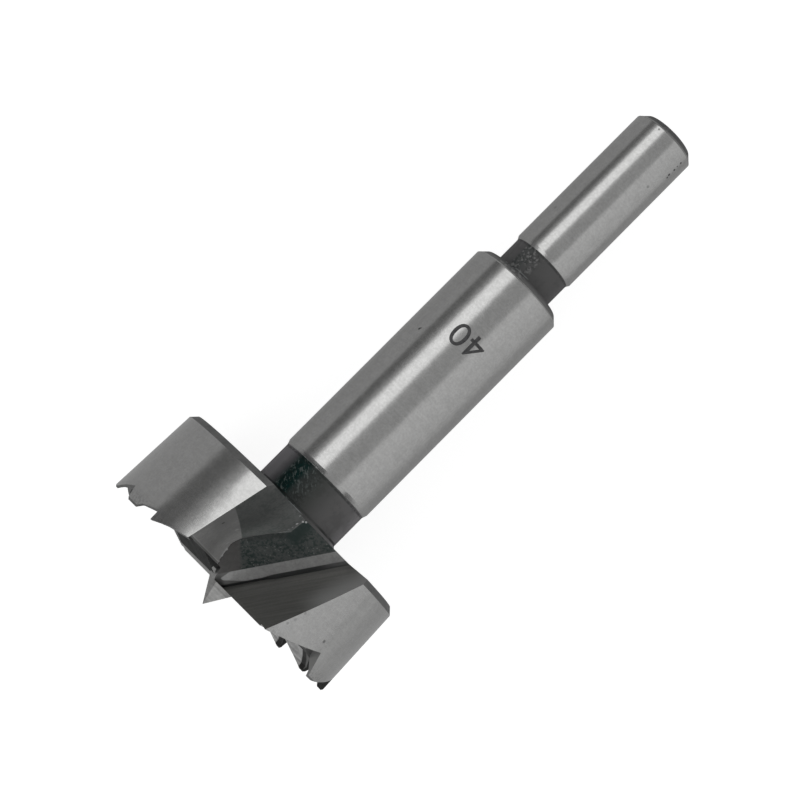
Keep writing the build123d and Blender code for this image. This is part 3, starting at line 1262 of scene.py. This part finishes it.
@dataclass
class Dress:
    """The bit's whole material: every face in its own finish, joined by masks in the bit's own frame.

    Attributes:
        rest: How the bit lies.
        tool: Its sizes.
        cylinders: The finish above the head.
        walls: The finish of the gullet's walls.
        groove: The finish of the groove's foot and the rake face.
        underside: The finish of what lies under the head.
        rim: The rim's ground steel.
        worn_rim: Its colour where it is worn, near the teeth.
        wear_level: The height at which that wear has half gone.
        chamfer: The scale on the chamfer round the head's top.
        chamfer_radius: The radius outside which that chamfer lies.
        specular: How much the dull finishes reflect.
        pits: The small marks on the smooth faces.
        painted_glints: The painted glints: bright spots along the edges.
    """

    rest: Rest
    tool: Tool
    cylinders: Cylinders = Cylinders()
    walls: GulletWalls = GulletWalls()
    groove: GrooveFaces = GrooveFaces()
    underside: Underside = Underside()
    rim: GroundSteel = GroundSteel((0.42, 0.42, 0.415), 0.17)
    worn_rim: Triple = (0.2, 0.2, 0.198)
    wear_level: float = 4.9
    chamfer: ForgedScale = ForgedScale((0.13, 0.13, 0.129), (0.09, 0.092, 0.091), flecks=0.1, relief=0.004)
    chamfer_radius: float = 18.0
    specular: float = 0.25
    pits: Sequence[Spot] = (
        Spot((-5.59, -5.0, 47.51), 0.17),
        Spot((-5.5, -5.1, 47.72), 0.12),
        Spot((3.92, -3.11, 90.3), 0.16),
        Spot((3.9, -3.13, 89.6), 0.1),
        Spot((3.95, -3.06, 88.96), 0.17),
        Spot((3.91, -3.12, 87.94), 0.19),
        Spot((4.0, -3.0, 87.5), 0.14),
        Spot((2.98, -4.02, 84.38), 0.22, share=0.35),
        Spot((-4.14, -2.8, 73.34), 0.2, share=0.3),
        Spot((-1.57, -4.75, 91.1), 0.16, share=0.6),
        Spot((14.87, -13.06, 7.96), 0.24, share=0.6),
        Spot((10.37, -16.8, 8.78), 0.2, share=0.25),
        Spot((10.01, -17.09, 7.32), 0.22, share=0.25),
        Spot((9.6, -17.36, 6.27), 0.2, share=0.25),
        Spot((-5.59, -15.39, 9.62), 0.24, share=0.9),
        Spot((-10.94, -16.7, 11.95), 0.16, grey(0.2), 0.6),
        Spot((-10.54, -16.97, 11.5), 0.16, grey(0.2), 0.6),
    )
    painted_glints: Sequence[Spot] = (
        Spot((-3.76, -10.11, 10.35), 0.3, grey(0.5), 0.5),
        Spot((-3.42, -5.85, 8.33), 0.27, grey(0.5), 0.75),
        Spot((-2.99, -3.87, 7.6), 0.22, grey(0.5), 0.75),
        Spot((-2.84, -3.24, 6.55), 0.2, grey(0.5), 0.75),
        Spot((-2.54, -2.82, 5.64), 0.22, grey(0.6), 0.8),
        Spot((-3.19, -5.9, 9.09), 0.22, grey(0.5), 0.6),
        Spot((1.4, -8.08, 16.64), 0.17, grey(0.7), 0.9),
        Spot((1.31, -7.55, 15.91), 0.1, grey(0.6), 0.7),
        Spot((1.76, -8.19, 17.38), 0.15, grey(0.6), 0.8),
        Spot((2.11, -8.23, 17.63), 0.14, grey(0.6), 0.8),
        Spot((0.94, -9.58, 17.62), 0.14, grey(0.5), 0.6),
        Spot((1.09, -7.26, 15.33), 0.1, grey(0.5), 0.5),
        Spot((-1.13, -6.65, 12.3), 0.1, grey(0.4), 0.5),
    )

    def _head(self, space: Space) -> Look:
        """All of the head's faces.

        Args:
            space: The bit's coordinates.

        Returns:
            What they show.
        """
        tool, z = self.tool, space.z
        look = self.groove.over(self.underside.over(self.walls.look(space), space), space)
        look = look.under(self.cylinders.neck.look(space), z.above(tool.head_top - 0.03, 0.02))
        rim = space.depth_in_rim.below(0.08, 0.04) * z.below(tool.chamfer_level + 0.02, 0.03)
        wear = space.board.noise(space.place, 3.0, 2.0).above(0.53, 0.1) * z.below(self.wear_level, 2.4)
        ground = self.rim.look(space).tinted(self.worn_rim, wear * 0.5)
        look = look.under(ground, rim * space.outwards.above(0.94, 0.03))
        edge = z.within(tool.chamfer_level + 0.02, tool.head_top - 0.02, 0.03)
        edge = edge * space.radius.above(self.chamfer_radius) * space.outwards.above(0.3, 0.1)
        return look.under(self.chamfer.look(space), edge)

    def material(self) -> bpy.types.Material:
        """Builds the material.

        Returns:
            The material, named for the steel it shows.
        """
        made, board = new_material("ground_and_forged_steel")
        space = Space(board, self.rest, self.tool)
        in_head = space.z.below(self.tool.head_top + 0.02, 0.02)
        look = self.cylinders.look(space).under(self._head(space), in_head)
        # the dark pits, then the painted glints along the edges
        for spot in (*self.pits, *self.painted_glints):
            look = look.tinted(spot.colour, space.spot(Vector(spot.place), spot.radius) * spot.share)
        bump = board.node("ShaderNodeBump", {}, {"Strength": 1.0, "Distance": METRES, "Height": look.relief})
        surface = {
            "Base Color": look.colour,
            "Roughness": look.roughness,
            "Metallic": look.metallic,
            "Specular IOR Level": self.specular,
            "Normal": board.value(bump),
        }
        board.shown(board.node("ShaderNodeBsdfPrincipled", {}, surface))
        return made


@dataclass
class EtchedSize:
    """The cutting size, etched dark across the hub.

    Attributes:
        rest: How the bit lies.
        tool: Its sizes.
        digits: What it says.
        middle_angle: The angle of the marking's middle.
        middle_z: The height of the marking's middle.
        width: Its width round the hub.
        height: The digits' height.
        font_bar: How far up its digit the font has the bar of the four.
        bar: How far up it is here.
        proud: How far its face stands off the steel.
        thickness: How thick its mesh is.
        etch: Its colour.
        thin_etch: Its colour where it is thin.
        patches: How many of its patches there are to a metre.
        roughness: How dull it is at the least.
    """

    rest: Rest
    tool: Tool
    digits: str = "40"
    middle_angle: float = 3.0
    middle_z: float = 50.58
    width: float = 5.19
    height: float = 3.44
    font_bar: float = 0.383
    bar: float = 0.295
    proud: float = 0.012
    thickness: float = 0.03
    etch: Triple = (0.022, 0.022, 0.023)
    thin_etch: Triple = (0.05, 0.05, 0.052)
    patches: float = 2600.0
    roughness: float = 0.45

    def build(self) -> bpy.types.Object:
        """Makes the digits' mesh, wraps it on the hub and dresses it.

        Returns:
            The marking, in its place.
        """
        bpy.ops.object.select_all(action="DESELECT")
        bpy.ops.object.text_add(location=(0, 0, 0))
        piece = bpy.context.object
        piece.name = "etched_size"
        piece.data.body = self.digits
        piece.data.resolution_u = 6
        bpy.ops.object.convert(target="MESH")
        piece = bpy.context.object
        bpy.ops.object.mode_set(mode="EDIT")
        bpy.ops.mesh.select_all(action="SELECT")
        bpy.ops.mesh.remove_doubles(threshold=0.0005)
        bpy.ops.mesh.quads_convert_to_tris()
        bpy.ops.mesh.subdivide(number_cuts=2)
        bpy.ops.object.mode_set(mode="OBJECT")
        self._wrap(piece)
        thick = piece.modifiers.new("etch", "SOLIDIFY")
        thick.thickness = self.thickness * METRES
        thick.offset = -1.0
        bpy.ops.object.modifier_apply(modifier=thick.name)
        piece.data.materials.clear()
        piece.data.materials.append(self._material())
        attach(piece, BODY)
        return piece

    def _wrap(self, piece: bpy.types.Object) -> None:
        """Lays the flat digits round the hub, reading towards the left with their tops to the point.

        Args:
            piece: The flat digits.
        """
        points = [vertex.co.copy() for vertex in piece.data.vertices]
        low = Vector((min(p.x for p in points), min(p.y for p in points)))
        high = Vector((max(p.x for p in points), max(p.y for p in points)))
        size = high - low
        hub_radius = self.tool.hub_radius
        for vertex, flat in zip(piece.data.vertices, points):
            across = ((flat.x - low.x) / size.x - 0.5) * self.width
            share = (flat.y - low.y) / size.y
            if across < 0:
                share = self._with_low_bar(share)
            upward = (share - 0.5) * self.height
            angle = self.middle_angle - math.degrees(across / hub_radius)
            upright = self.tool.on_cylinder(hub_radius + self.proud, angle, self.middle_z - upward)
            vertex.co = self.rest.place(upright)
        piece.data.update()

    def _with_low_bar(self, share: float) -> float:
        """A height in the first digit with the digit's bar moved down.

        Args:
            share: The height in the font, as a share of the digit's.

        Returns:
            The height here, as a share too.
        """
        if share < self.font_bar:
            return share * self.bar / self.font_bar
        return 1 - (1 - share) * (1 - self.bar) / (1 - self.font_bar)

    def _material(self) -> bpy.types.Material:
        """The dark etch, uneven where it is thin.

        Returns:
            Its material.
        """
        made, board = new_material("dark_etch")
        clouds = board.noise(board.value(board.node("ShaderNodeTexCoord"), "Object"), self.patches, 3.0)
        bump = board.node("ShaderNodeBump", {}, {"Strength": 0.4, "Distance": 0.00002, "Height": clouds})
        surface = {
            "Base Color": board.blend(self.etch, self.thin_etch, clouds.above(0.5, 0.3)),
            "Roughness": self.roughness + clouds * 0.2,
            "Metallic": 0.0,
            "Normal": board.value(bump),
        }
        board.shown(board.node("ShaderNodeBsdfPrincipled", {}, surface))
        return made


@dataclass
class Studio:
    """The paper, the light tent round it and the long softbox that makes the bright band.

    Angles are measured from straight up towards +Y, in the plane square to the bit.

    Attributes:
        paper_size: The paper's width and length, in metres.
        paper_drop: How far it lies under the bit, so that the two don't touch.
        paper_colour: Its colour round the bit.
        lit_paper: Its colour by the bright wall.
        lit_edge: How far along Y that wall's light ends.
        shaded_paper: Its colour by the dark wall.
        shaded_edge: How far along Y that wall's shade begins.
        paper_lift: How far it is lifted to white for the camera.
        far_lift: How much further it is lifted by the dark wall.
        glossy_lift: How far it is lifted in the metal's reflections.
        glossy_wall: How much of the white backdrop the metal's reflections show.
        tent: The tent's brightness at each angle.
        band_low: The angle of the softbox's lower edge.
        band_high: The angle of its upper edge.
        band_turn: How far it is turned, its shank end lower.
        band_radiance: How bright it is.
        band_distance: How far it stands from the bit, in metres.
        band_length: How long it is, in metres.
    """

    paper_size: float = 8.0
    paper_drop: float = 0.00001
    paper_colour: Triple = grey(0.4)
    lit_paper: Triple = grey(0.66)
    lit_edge: float = -0.1
    shaded_paper: Triple = grey(0.04)
    shaded_edge: float = 0.34
    paper_lift: float = 0.82
    far_lift: float = 0.2
    glossy_lift: float = 0.14
    glossy_wall: float = 0.06
    tent: Sequence[Pair] = (
        (-180.0, 0.415),
        (-90.5, 0.415),
        (-90.0, 0.64),
        (-17.0, 0.83),
        (-15.0, 0.447),
        (24.0, 0.447),
        (32.0, 0.574),
        (58.0, 0.574),
        (66.0, 0.468),
        (74.0, 0.215),
        (78.0, 0.135),
        (90.0, 0.12),
        (90.5, 0.415),
        (180.0, 0.415),
    )
    band_low: float = 59.5
    band_high: float = 30.2
    band_turn: float = 8.0
    band_radiance: float = 0.99
    band_distance: float = 0.9
    band_length: float = 3.0

    def build(self) -> None:
        """Makes the paper, the tent and the softbox."""
        self._paper()
        self._tent()
        self._softbox()

    @staticmethod
    def _seen(board: Board, glossy_share: float) -> Value:
        """Which rays see the white backdrop.

        Args:
            board: The nodes to read them in.
            glossy_share: How much of it a reflection sees.

        Returns:
            1 for rays from the camera and through glass, and that share for reflections.
        """
        path = board.node("ShaderNodeLightPath")
        seen = board.value(path, "Is Camera Ray")
        glossy = board.value(path, "Is Glossy Ray")
        through = board.value(path, "Is Transmission Ray")
        return seen + through + glossy * glossy_share

    def _paper(self) -> None:
        """The pale floor, lighter by the bright wall, and white to the camera while it keeps the shadow."""
        bpy.ops.object.select_all(action="DESELECT")
        bpy.ops.mesh.primitive_plane_add(size=self.paper_size, location=(0, 0, -self.paper_drop))
        paper = bpy.context.object
        paper.name = "paper"
        made, board = new_material("white_paper")
        place = board.value(board.node("ShaderNodeTexCoord"), "Object")
        across = board.value(board.node("ShaderNodeSeparateXYZ", {}, {0: place}), 1)
        shaded = across.above(self.shaded_edge, 0.3)
        colour = board.blend(self.paper_colour, self.lit_paper, across.below(self.lit_edge, 0.16))
        colour = board.blend(colour, self.shaded_paper, shaded)
        matt = board.node("ShaderNodeBsdfDiffuse", {}, {"Color": colour})
        seen = self._seen(board, self.glossy_lift / self.paper_lift)
        lift = self.paper_lift + shaded * self.far_lift
        glow = board.node("ShaderNodeEmission", {}, {"Strength": seen * lift})
        board.shown(board.node("ShaderNodeAddShader", {}, {0: board.value(matt), 1: board.value(glow)}))
        paper.data.materials.append(made)
        paper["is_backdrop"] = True

    def _tent(self) -> None:
        """The world: the tent's walls, white to the camera."""
        world = bpy.data.worlds.new("light_tent")
        bpy.context.scene.world = world
        world.use_nodes = True
        board = Board(world.node_tree)
        ray = board.value(board.node("ShaderNodeTexCoord"), "Generated")
        parts = board.node("ShaderNodeSeparateXYZ", {}, {0: ray})
        lean = board.maths("ARCTAN2", board.value(parts, 1), board.value(parts, 2)) * math.degrees(1)
        stops = [(angle, grey(level)) for angle, level in self.tent]
        walls = board.ramp(lean, -180.0, 180.0, stops)
        colour = board.blend(walls, grey(1.0), self._seen(board, self.glossy_wall))
        back = board.node("ShaderNodeBackground", {}, {"Color": colour, "Strength": 1.0})
        board.shown(back, "ShaderNodeOutputWorld")

    def _softbox(self) -> None:
        """The long softbox over the near side."""
        middle = math.radians((self.band_low + self.band_high) / 2)
        half = math.radians((self.band_low - self.band_high) / 2)
        lamp = bpy.data.lights.new("long_softbox", "AREA")
        lamp.shape = "RECTANGLE"
        lamp.size = self.band_length
        lamp.size_y = 2 * self.band_distance * math.tan(half)
        lamp.energy = self.band_radiance * math.pi * lamp.size * lamp.size_y
        holder = bpy.data.objects.new("long_softbox", lamp)
        bpy.context.scene.collection.objects.link(holder)
        direction = Vector((0, math.sin(middle), math.cos(middle)))
        holder.location = direction * self.band_distance
        turn = math.radians(self.band_turn)
        lower = Vector((0, math.cos(middle), -math.sin(middle)))
        across = Vector((math.cos(turn), 0, 0)) + lower * math.sin(turn)
        holder.rotation_euler = Matrix((across, direction.cross(across), direction)).transposed().to_euler()
        holder.visible_camera = False


@dataclass(frozen=True)
class Photograph:
    """Where the photograph was taken from, in the bit's upright frame.

    Attributes:
        rest: How the bit lies.
        place: Where the camera stood.
        right: The direction towards the picture's right.
        forward: The direction that it looked in.
        focal_pixels: The lens's focal length, in the picture's pixels.
        frame_pixels: How many pixels wide the picture is.
        sensor: How wide the sensor is taken to be.
    """

    rest: Rest
    place: Triple = (-0.61, -334.21, 4.54)
    right: Triple = (0.7087, -0.0729, 0.7018)
    forward: Triple = (0.0002, 0.9947, 0.1031)
    focal_pixels: float = 2419.0
    frame_pixels: float = 800.0
    sensor: float = 36.0

    def build(self) -> bpy.types.Object:
        """Makes the camera and gives it to the scene.

        Returns:
            The camera.
        """
        data = bpy.data.cameras.new("photograph")
        data.sensor_width = self.sensor
        data.lens = self.focal_pixels / self.frame_pixels * self.sensor
        data.clip_start = 0.01
        data.clip_end = 50.0
        camera = bpy.data.objects.new("photograph", data)
        bpy.context.scene.collection.objects.link(camera)
        back = -self.rest.direction(self.forward).normalized()
        right = self.rest.direction(self.right)
        right = (right - back * right.dot(back)).normalized()
        turn = Matrix((right, back.cross(right), back)).transposed().to_4x4()
        camera.matrix_world = Matrix.Translation(self.rest.place(self.place)) @ turn
        bpy.context.scene.camera = camera
        return camera


@dataclass
class SizeLog:
    """The object's box before and after the scene's own pieces."""

    boxes: Dict[str, List[List[float]]] = field(default_factory=dict)

    def note(self, name: str) -> None:
        """Keeps the shown object's box under a name."""
        self.boxes[name] = [list(corner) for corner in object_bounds()]

    def write(self) -> None:
        """Does nothing: the boxes are not written anywhere."""


def dress_bit(frame: Dict[str, Any], dress: Dress) -> None:
    """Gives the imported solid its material.

    Args:
        dress: The bit's finishes.
    """
    bit = frame["nodes"][NODE]
    bit.data.materials.clear()
    bit.data.materials.append(dress.material())
    LOG.info("dressed %s: %d faces", NODE, len(bit.data.polygons))


def main() -> None:
    """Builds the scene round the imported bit."""
    logging.basicConfig(level=logging.INFO, format="%(message)s")
    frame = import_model()
    sizes = SizeLog()
    sizes.note("cad")
    bpy.context.scene.view_settings.view_transform = "Standard"
    rest = Rest()
    tool = Tool()
    Photograph(rest).build()
    Studio().build()
    dress_bit(frame, Dress(rest, tool))
    marking = EtchedSize(rest, tool).build()
    LOG.info("made %s: %d faces", marking.name, len(marking.data.polygons))
    sizes.note("visual")
    sizes.write()


if __name__ == "__main__":
    main()
